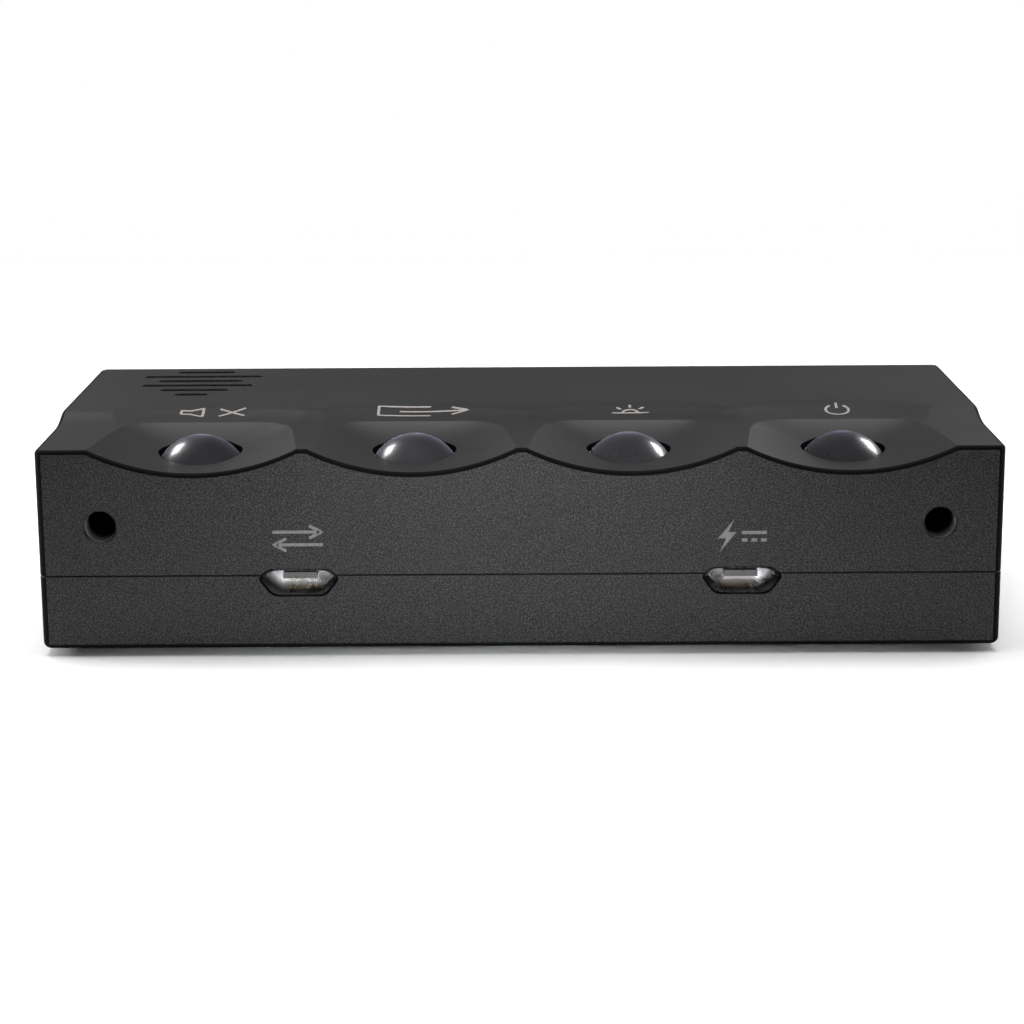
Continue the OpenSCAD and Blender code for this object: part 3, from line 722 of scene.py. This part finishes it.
def usb_outline(x, grow_x, grow_z):
    """Outline of a USB socket with softened corners: widest above the middle."""
    half, top_half, low_half = 4.1 + grow_x, 3.25 + grow_x, 2.8 + grow_x
    half_h, wide_z0, wide_z1 = 1.48, USB_Z + 0.2, USB_Z + 0.6
    z0, z1 = USB_Z - half_h - grow_z, USB_Z + half_h + grow_z
    corners = [(-low_half, z0), (low_half, z0), (half, wide_z0), (half, wide_z1),
               (top_half, z1), (-top_half, z1), (-half, wide_z1), (-half, wide_z0)]
    softness = 0.7
    points = []
    for k, (cx, cz) in enumerate(corners):
        before, after = corners[k - 1], corners[(k + 1) % len(corners)]
        a = Vector((before[0] - cx, before[1] - cz))
        b = Vector((after[0] - cx, after[1] - cz))
        a = a.normalized() * min(softness, a.length * 0.45)
        b = b.normalized() * min(softness, b.length * 0.45)
        for t in (0.0, 0.25, 0.5, 0.75, 1.0):
            p = a * (1 - t) ** 2 + b * t ** 2
            points.append((x + cx + p.x, cz + p.y))
    return points


def usb_cutter(x):
    rings = []
    for y, grow in ((FRONT - 1, 0.12), (FRONT + 0.12, 0.0), (FRONT + WALL + 1, 0.0)):
        ring = usb_outline(x, grow, grow)
        rings.append([(px, y, pz) for px, pz in ring])
    return loft("usb_cut", rings)


SCREWS = [(44, UPPER_LOW[1] + 17.8), (44, UPPER_LOW[1] + 38.5)]    # on the right; the left mirrors
SCREW_POST_R = 3.2
INNER_HALF_W = UPPER_HIGH[0] - WALL
INNER_FRONT = UPPER_LOW[1] + WALL
INNER_REAR = UPPER_HIGH[1] - WALL
FIXING_HOLE = mount_mm("fixing_hole_right")
FIXING_R = 1.6
FIXING_DEPTH = 12


def both_sides(places):
    """The places, and the same ones mirrored to the left."""
    return [(side * x, y) for side in (-1, 1) for x, y in places]


def with_walls(index, cutter):
    """Gives the walls that this cutter leaves behind one of the case's other materials."""
    for poly in cutter.data.polygons:
        poly.material_index = index
    return cutter


def bar_cutter(x, y, length, width, depth):
    """A round-ended slot for the pattern of level bars, with a softened upper edge."""
    centres = (length - width) / 2
    turn = [math.radians(15 * k) for k in range(13)]
    ring = [(centres + width / 2 * math.sin(a), -width / 2 * math.cos(a)) for a in turn]
    ring += [(-u, -v) for u, v in ring]
    rings = []
    for z, grow in ((TOP - depth, 0), (TOP - 0.06, 0), (TOP + 0.5, 0.4)):
        rings.append([(x + u * (1 + grow / length), y + v * (1 + grow / width), z) for u, v in ring])
    return loft("bar", rings)


def upper_cavity():
    """The upper case's hollow, which is lower under the balls than behind them."""
    brow_y = UPPER_LOW[1] + 16.5
    ceiling = UPPER_HIGH[2] - 2.2
    low = cuboid((-INNER_HALF_W, INNER_FRONT, JOINT - 1), (INNER_HALF_W, brow_y, LIP))
    high = cuboid((-INNER_HALF_W, brow_y - 0.01, JOINT - 1), (INNER_HALF_W, INNER_REAR, ceiling))
    return join("cavity", [low, high])


def upper_bosses():
    """The ball guides, a block behind each fixing hole, and the screw posts."""
    bosses = [rod((ball[0], BALL_Y, GUIDE_END), (0, 0, 1), GUIDE_R + GUIDE_WALL, LIP - GUIDE_END + 0.05)
              for ball in BALLS]
    block_x, block_half_w, block_half_h = 44.8, 4.1, 3.5
    y0, y1 = UPPER_LOW[1] + 1.1, UPPER_LOW[1] + 15.1
    for side in (-1, 1):
        bosses.append(cuboid((side * block_x - block_half_w, y0, FIXING_HOLE[2] - block_half_h),
                             (side * block_x + block_half_w, y1, FIXING_HOLE[2] + block_half_h)))
    post_top = UPPER_HIGH[2] - 2.1
    bosses += [rod((x, y, JOINT), (0, 0, 1), SCREW_POST_R, post_top - JOINT)
               for x, y in both_sides(SCREWS)]
    return join("bosses", bosses)


def ball_hole(ball):
    """The guide, and the hole over it, which narrows to its mouth. Its walls get the dark edge material,
    painted shade inside the hole.
    """
    profile = [(GUIDE_R, JOINT - 1), (GUIDE_R, LIP), (HOLE_R, LIP), (MOUTH_R, MOUTH), (MOUTH_R, TOP)]
    hole = turned("ball_hole", (ball[0], BALL_Y, 0), (0, 0, 1), profile, segments=96)
    return with_walls(EDGE_SHADE_INDEX, hole)


def fixing_hole(side):
    """A chamfered mouth, a straight bore and a drill point."""
    mouth = (side * FIXING_HOLE[0], FRONT, FIXING_HOLE[2])
    widening = [(FIXING_R + 0.5, -0.3), (FIXING_R + 0.22, 0.0), (FIXING_R - 0.01, 0.22), (0.5, 0.3)]
    bore = [(FIXING_R, 0.1), (FIXING_R, FIXING_DEPTH), (0.01, FIXING_DEPTH + 0.9)]
    return [turned("chamfer", mouth, (0, 1, 0), widening),
            with_walls(BORE_INDEX, turned("bore", mouth, (0, 1, 0), bore))]


def rear_holes():
    """Round holes with broken edges for the jacks and phono sockets, a square one for the optical."""
    holes = []
    for name, r in (("headphone_large", 4.5), ("headphone_small", 3.1),
                    ("line_left_sleeve", 4.6), ("line_right_sleeve", 4.6)):
        x, _, z = mount_mm(name)
        profile = [(r + 0.5, -0.4), (r + 0.1, 0.0), (r, 0.1), (r, WALL + 1)]
        holes.append(turned("rear_hole", (x, REAR, z), (0, -1, 0), profile))
    x, _, z = mount_mm("optical_output")
    half = 3.8
    holes.append(cuboid((x - half, REAR - WALL - 1, z - half), (x + half, REAR + 1, z + half)))
    return holes


def level_bars():
    """The sunk pattern of level bars at the rear left of the top plane."""
    x, first_y, pitch, width, depth = -37, UPPER_LOW[1] + 26.5, 2.9, 1.3, 0.33
    return [bar_cutter(x, first_y + pitch * k, length, width, depth)
            for k, length in enumerate((4, 8, 13, 10, 14, 7))]


def make_upper_case():
    ob = upper_skin()
    boolean(ob, upper_cavity(), "DIFFERENCE")
    boolean(ob, upper_bosses(), "UNION")
    screw_r, screw_depth = 1.27, 8.5
    cutters = [ball_hole(ball) for ball in BALLS]
    for side in (-1, 1):
        cutters += fixing_hole(side)
    cutters += [rod((x, y, JOINT - 1), (0, 0, 1), screw_r, screw_depth) for x, y in both_sides(SCREWS)]
    cutters += [usb_cutter(x) for x in USB_X]
    cutters += rear_holes() + level_bars()
    boolean(ob, join("cutters", cutters), "DIFFERENCE")
    tidy(ob, CASE_SMOOTH_ANGLE)
    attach(ob, "chassis")
    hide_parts("upper_case")


def lower_skin():
    """Solid block of the lower case, from its rounded bottom edge up to the joint."""
    x_in = HALF_W - CORNER
    x_lines, y_lines = steps(-x_in, x_in, 4.0), steps(FRONT + CORNER, REAR - CORNER, 4.0)
    rings = [[(x, y, JOINT) for x, y in outline(GROOVE, x_lines, y_lines)],
             [(x, y, JOINT - GROOVE) for x, y in outline(0, x_lines, y_lines)]]
    for a in (0, 15, 30, 45, 60, 75, 90):
        inset = FOOT_EDGE * (1 - math.cos(math.radians(a)))
        z = BOTTOM + FOOT_EDGE * (1 - math.sin(math.radians(a)))
        rings.append([(x, y, z) for x, y in outline(inset, x_lines, y_lines)])
    ob = loft("lower_case_skin", list(reversed(rings)))
    for material in CASE_MATERIALS:
        ob.data.materials.append(material)
    darken_corners(ob)
    return ob


def lower_posts(floor):
    """Posts for the case screws, up to the joint, and for the board."""
    board_posts, board_post_r, board_z = [(-42.4, 8), (42.4, 8), (-38, 33), (12.15, 33)], 2.4, 4.95
    foot = floor - 0.01
    posts = [rod((x, y, foot), (0, 0, 1), SCREW_POST_R, JOINT - foot) for x, y in both_sides(SCREWS)]
    posts += [rod((x, UPPER_LOW[1] + depth, foot), (0, 0, 1), board_post_r, board_z - floor)
              for x, depth in board_posts]
    return join("posts", posts)


def screw_recess(x, y):
    """A countersunk recess for the screw's head, and the hole for its shank."""
    head_r, head_depth, shank_r = 2.4, 2.6, 1.35
    profile = [(head_r + 0.15, BOTTOM - 0.4), (head_r, BOTTOM + 0.1), (head_r, BOTTOM + head_depth),
               (shank_r, BOTTOM + head_depth), (shank_r, JOINT + 1)]
    return turned("screw_hole", (x, y, 0), (0, 0, 1), profile)


def make_lower_case():
    ob = lower_skin()
    floor = BOTTOM + 2
    hollow = cuboid((-INNER_HALF_W, INNER_FRONT, floor), (INNER_HALF_W, INNER_REAR, JOINT + 2))
    boolean(ob, hollow, "DIFFERENCE")
    boolean(ob, lower_posts(floor), "UNION")
    foot_r, foot_seat = 4.55, 0.4
    cutters = [usb_cutter(x) for x in USB_X]
    cutters += [screw_recess(x, y) for x, y in both_sides(SCREWS)]
    for name in RECORD_MOUNTS:
        if name.startswith("foot_"):
            x, y, _ = mount_mm(name)
            cutters.append(rod((x, y, 0), (0, 0, 1), foot_r, BOTTOM + foot_seat))
    boolean(ob, join("cutters", cutters), "DIFFERENCE")
    tidy(ob, CASE_SMOOTH_ANGLE)
    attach(ob, "chassis")
    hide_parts("lower_case")


# ---------- balls and sockets ----------


def make_balls():
    for name, (x, y, z) in zip(BUTTONS, BALLS):
        bm = bmesh.new()
        bmesh.ops.create_icosphere(bm, subdivisions=5, radius=BALL_R)
        verts = [(v.co.x + x, v.co.y + y, v.co.z + z) for v in bm.verts]
        faces = [[v.index for v in f.verts] for f in bm.faces]
        bm.free()
        ob = tidy(new_object(name + "_ball_polished", verts, faces, BALL), 60)
        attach(ob, name + "_ball")
        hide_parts(name + "_ball")


def make_domes():
    """The snap domes, thin spherical caps, built in their rest shape; the real ones flatten under the
    stems.
    """
    thickness, travel = 0.12, 0.3
    for name in BUTTONS:
        low, high = box_mm(name + "_dome")
        x, y, _ = centre_mm(name + "_dome")
        r, height = (high[0] - low[0]) / 2, high[2] - low[2]
        outer = (r * r + height * height) / (2 * height)
        angles = [math.asin(r / outer) * k / 12 for k in range(1, 13)]
        profile = []
        for radius, turn in ((outer, angles), (outer - thickness, angles[::-1])):
            profile += [(radius * math.sin(a), height - outer + radius * math.cos(a)) for a in turn]
        ob = turned(name + "_dome_pressed", (x, y, low[2]), (0, 0, 1), profile,
                    SLOT_MATERIALS["spring_steel"], segments=48)
        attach(ob, "chassis")
        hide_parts(name + "_dome")
        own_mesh(ob)


def make_usb_shell(name, x):
    """Drawn steel shell with a mouth that flares out into the case's cut-out."""
    outside = [(5.55, -0.36), (1.6, -0.36), (0.9, -0.3), (0.5, -0.18), (0.34, -0.15)]
    inside = [(0.3, -0.2), (0.45, -0.26), (1.0, -0.56), (1.5, -0.66), (4.6, -0.66)]
    rings = []
    for depth, grow in outside + inside:
        ring = usb_outline(x, grow, grow * 0.75)
        rings.append([(px, FRONT + depth, pz) for px, pz in ring])
    ob = loft(name + "_formed", rings, SLOT_MATERIALS["shell_steel"], smooth_angle=40)
    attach(ob, "chassis")
    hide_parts(name)


# ---------- printed labels ----------


LABEL_THICKNESS = 0.045


def ribbon(points, width, place):
    """A closed flat strip along 2D points, laid on a surface by `place(u, v, height)`."""
    pts = [Vector(p) for p in points]
    closed = (pts[0] - pts[-1]).length < 1e-6
    if closed:
        pts = pts[:-1]
    n = len(pts)
    verts, faces = [], []
    for i in range(n):
        before = pts[i - 1] if closed or i > 0 else pts[i]
        after = pts[(i + 1) % n] if closed or i < n - 1 else pts[i]
        along = (after - before).normalized()
        side = Vector((-along.y, along.x)) * width / 2
        for height in (0.0, -LABEL_THICKNESS):
            for p in (pts[i] + side, pts[i] - side):
                verts.append(place(p.x, p.y, height))
    for i in range(n if closed else n - 1):
        a, b = 4 * i, 4 * ((i + 1) % n)
        faces += [(a, a + 1, b + 1, b), (a + 2, b + 2, b + 3, a + 3),
                  (a, b, b + 2, a + 2), (a + 1, a + 3, b + 3, b + 1)]
    if not closed:
        end = 4 * (n - 1)
        faces += [(0, 2, 3, 1), (end, end + 1, end + 3, end + 2)]
    return verts, faces


def divided(points, size=0.25):
    """The same line with points no further apart than `size`."""
    result = [points[0]]
    for a, b in zip(points, points[1:]):
        n = max(1, math.ceil(math.dist(a, b) / size))
        result += [(a[0] + (b[0] - a[0]) * k / n, a[1] + (b[1] - a[1]) * k / n) for k in range(1, n + 1)]
    return result


def arc(cx, cy, r, start, end):
    n = max(6, int(abs(end - start) / 10))
    angles = [math.radians(start + (end - start) * k / n) for k in range(n + 1)]
    return [(cx + r * math.cos(a), cy + r * math.sin(a)) for a in angles]


def finish_label(name, verts, faces, material):
    ob = tidy(new_object(name, verts, faces, material), 30)
    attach(ob, "chassis")


def label(name, strokes, width, place, material):
    verts, faces = [], []
    for stroke in strokes:
        v, f = ribbon(divided(stroke), width, place)
        faces += [[i + len(verts) for i in face] for face in f]
        verts += v
    finish_label(name, verts, faces, material)


def filled_label(name, points, place, material):
    """A filled mark: its outline as a thin plate."""
    n = len(points)
    verts = [place(u, v, height) for height in (0.0, -LABEL_THICKNESS) for u, v in points]
    faces = [tuple(range(n)), tuple(reversed(range(n, 2 * n)))]
    faces += [(i, i + n, (i + 1) % n + n, (i + 1) % n) for i in range(n)]
    finish_label(name, verts, faces, material)


def on_slope(x, y):
    """Lays a label on the case's top surface, a hair above it."""
    def place(u, v, height):
        return (x + u, y + v, top_height(x + u, y + v) + 0.012 + height)
    return place


def on_front(x, z):
    """Lays a label on the front face, just inside the solid's own face."""
    def place(u, v, height):
        return (x + u, FRONT - SKIN_IN * 0.8 - height, z + v)
    return place


def speaker_off():
    body = [(-3.5, -0.4), (-2.5, -0.4), (-1.1, -1.0), (-1.1, 1.0), (-2.5, 0.4), (-3.5, 0.4), (-3.5, -0.4)]
    return [body, [(0.7, -0.9), (3.5, 0.9)], [(0.7, 0.9), (3.5, -0.9)]]


def box_and_arrow():
    frame_line = [(1.0, 1.1), (-4.7, 1.1), (-4.7, -1.1), (1.0, -1.1)]
    return [frame_line, [(-2.4, 0), (5.0, 0)], [(3.3, 0.85), (5.1, 0), (3.3, -0.85)]]


def half_sun():
    rays = []
    for a in (0, 45, 90, 135, 180):
        c, s = math.cos(math.radians(a)), math.sin(math.radians(a))
        rays.append([(1.4 * c, 1.35 * s - 0.6), (2.1 * c, 1.9 * s - 0.6)])
    return [arc(0, -0.6, 0.85, 0, 180), [(-2.1, -0.6), (2.1, -0.6)]] + rays


def standby():
    return [arc(0, -0.1, 1.25, 125, 415), [(0, 0.35), (0, 1.55)]]


def two_arrows():
    return [[(-2.6, 0.6), (2.2, 0.6)], [(1.2, 1.25), (2.5, 0.6), (1.2, -0.05)],
            [(2.6, -0.75), (-2.2, -0.75)], [(-1.2, -0.1), (-2.5, -0.75), (-1.2, -1.4)]]


def bolt():
    return [(0.75, 1.75), (-0.95, -0.3), (-0.1, -0.3), (-0.75, -1.75), (0.95, 0.35), (0.1, 0.35)]


def direct_current():
    dashes = [[(-1.3 + 1.0 * k, -0.4), (-0.7 + 1.0 * k, -0.4)] for k in range(3)]
    return [[(-1.3, 0.4), (1.3, 0.4)]] + dashes


def make_labels():
    """Plain pictures of what each button and socket does, without lettering."""
    slope_y = UPPER_LOW[1] + 18.2
    for k, strokes, shift, width in ((0, speaker_off(), 0.2, 0.3), (1, box_and_arrow(), 0.4, 0.3),
                                     (2, half_sun(), 0.6, 0.28), (3, standby(), 0.6, 0.28)):
        label(BUTTONS[k] + "_label", strokes, width, on_slope(BALLS[k][0] + shift, slope_y), INK)
    data_x, supply_x = USB_X
    front_z = BOTTOM + 11.9
    label("data_label", two_arrows(), 0.32, on_front(data_x, front_z), FRONT_INK)
    filled_label("supply_bolt_label", bolt(), on_front(supply_x - 1.6, front_z), FRONT_INK)
    label("supply_label", direct_current(), 0.34, on_front(supply_x + 1.2, front_z - 0.1), FRONT_INK)


# ---------- floor, light and camera ----------


REFLECTED_SKY = 0.15                # how bright the white surroundings look in reflections
FLOOR_SIZE = 600                    # past this, the white surroundings take over


def make_world():
    """White to the camera, but only dimly so in reflections, and no light of its own."""
    world = bpy.data.worlds.new("studio")
    bpy.context.scene.world = world
    world.use_nodes = True
    tree = world.node_tree
    path = tree.nodes.new("ShaderNodeLightPath")
    reflected = tree.nodes.new("ShaderNodeMath")
    reflected.operation = "MULTIPLY"
    reflected.inputs[1].default_value = REFLECTED_SKY
    total = tree.nodes.new("ShaderNodeMath")
    total.operation = "ADD"
    tree.links.new(path.outputs["Is Glossy Ray"], reflected.inputs[0])
    tree.links.new(path.outputs["Is Camera Ray"], total.inputs[0])
    tree.links.new(reflected.outputs[0], total.inputs[1])
    background = tree.nodes["Background"]
    background.inputs["Color"].default_value = (1, 1, 1, 1)
    tree.links.new(total.outputs[0], background.inputs["Strength"])


def make_floor():
    s = Shader("pale_floor", roughness=0.9, specular=0.1)
    haze = s.noise(6, 2.0)
    s.put(s.bsdf, "Base Color", s.mix(haze, (0.93, 0.93, 0.93), (0.96, 0.96, 0.96)))
    half = FLOOR_SIZE / 2
    corners = [(-half, -half, 0), (half, -half, 0), (half, half, 0), (-half, half, 0)]
    floor = new_object("floor", corners, [(0, 1, 2, 3)], s.material)


def area_light(name, at, to, size, watts):
    data = bpy.data.lights.new(name, "AREA")
    data.shape = "RECTANGLE"
    data.size, data.size_y = size
    data.energy = watts
    ob = bpy.data.objects.new(name, data)
    bpy.context.scene.collection.objects.link(ob)
    ob.location = at
    ob.rotation_euler = (Vector(to) - Vector(at)).to_track_quat("-Z", "Y").to_euler()
    return ob


def link_light(light, names, state):
    """Makes a light reach only the named pieces, or everything but them."""
    group = bpy.data.collections.new(light.name + "_receivers")
    for name in names:
        group.objects.link(bpy.data.objects[name])
    for item in group.collection_objects:
        item.light_linking.link_state = state
    light.light_linking.receiver_collection = group


def make_lights():
    """Soft boxes behind, a card overhead, low lights at the sides and a weak one in front. The
    balls get small lights of their own, so that their highlights stay small."""
    polished = [name + "_ball_polished" for name in BUTTONS]
    middle = (0, -0.01, 0.02)
    for name, at, watts, near in (("left_box", (-0.3, 0.21, 0.3), 0.75, polished[:2]),
                                  ("right_box", (0.3, 0.27, 0.23), 0.5, polished[2:])):
        box = area_light(name, at, middle, (0.36, 0.22), watts)
        link_light(box, polished, "EXCLUDE")
        glint = area_light(name + "_glint", at, middle, (0.17, 0.11), 1.4)
        glint.visible_diffuse = False
        link_light(glint, near, "INCLUDE")
    card = area_light("overhead_card", (0, 0.02, 0.5), middle, (0.5, 0.3), 2.7)
    link_light(card, polished, "EXCLUDE")
    floor_wash = area_light("floor_wash", (0, 0, 2), (0, 0, 0), (4, 4), 13)
    link_light(floor_wash, ["floor"], "INCLUDE")
    for name, side, watts in (("left_graze", -1, 0.15), ("right_graze", 1, 0.06)):
        area_light(name, (side * 0.2, 0, 0.06), (side * 0.02, -0.012, 0.02), (0.05, 0.04), watts)
    front_glow = area_light("front_glow", (-0.002, -0.17, 0.05), (-0.002, -0.026, 0.004),
                            (0.05, 0.05), 0.0088)
    front_glow.data.spread = math.radians(40)


def make_camera():
    """The photographer's place: in front of the case, a little above it, aimed slightly down."""
    distance, height, side = 250.2, 72.55, 0.14
    yaw, pitch, roll = (math.radians(a) for a in (-0.22, 13.06, -0.36))
    forward = Vector((math.sin(yaw) * math.cos(pitch), math.cos(yaw) * math.cos(pitch), -math.sin(pitch)))
    right = Vector((math.cos(yaw), -math.sin(yaw), 0))
    up = right.cross(forward)
    turned_right = right * math.cos(roll) + up * math.sin(roll)
    turned_up = up * math.cos(roll) - right * math.sin(roll)
    data = bpy.data.cameras.new("camera")
    data.sensor_width = 36
    data.lens = 87.57
    data.clip_start = 0.01
    ob = bpy.data.objects.new("camera", data)
    rotation = Matrix((turned_right, turned_up, -forward)).transposed().to_4x4()
    place = Matrix.Translation(Vector((side, UPPER_LOW[1] - distance, BOTTOM + height)) * MM)
    ob.matrix_world = place @ rotation
    bpy.context.scene.collection.objects.link(ob)
    bpy.context.scene.camera = ob


bpy.context.scene.view_settings.view_transform = "Standard"
paint_cad_nodes()
make_upper_case()
make_lower_case()
make_balls()
make_domes()
make_usb_shell("usb_data_shell", USB_X[0])
make_usb_shell("usb_power_shell", USB_X[1])
make_labels()
make_floor()
make_world()
make_lights()
make_camera()
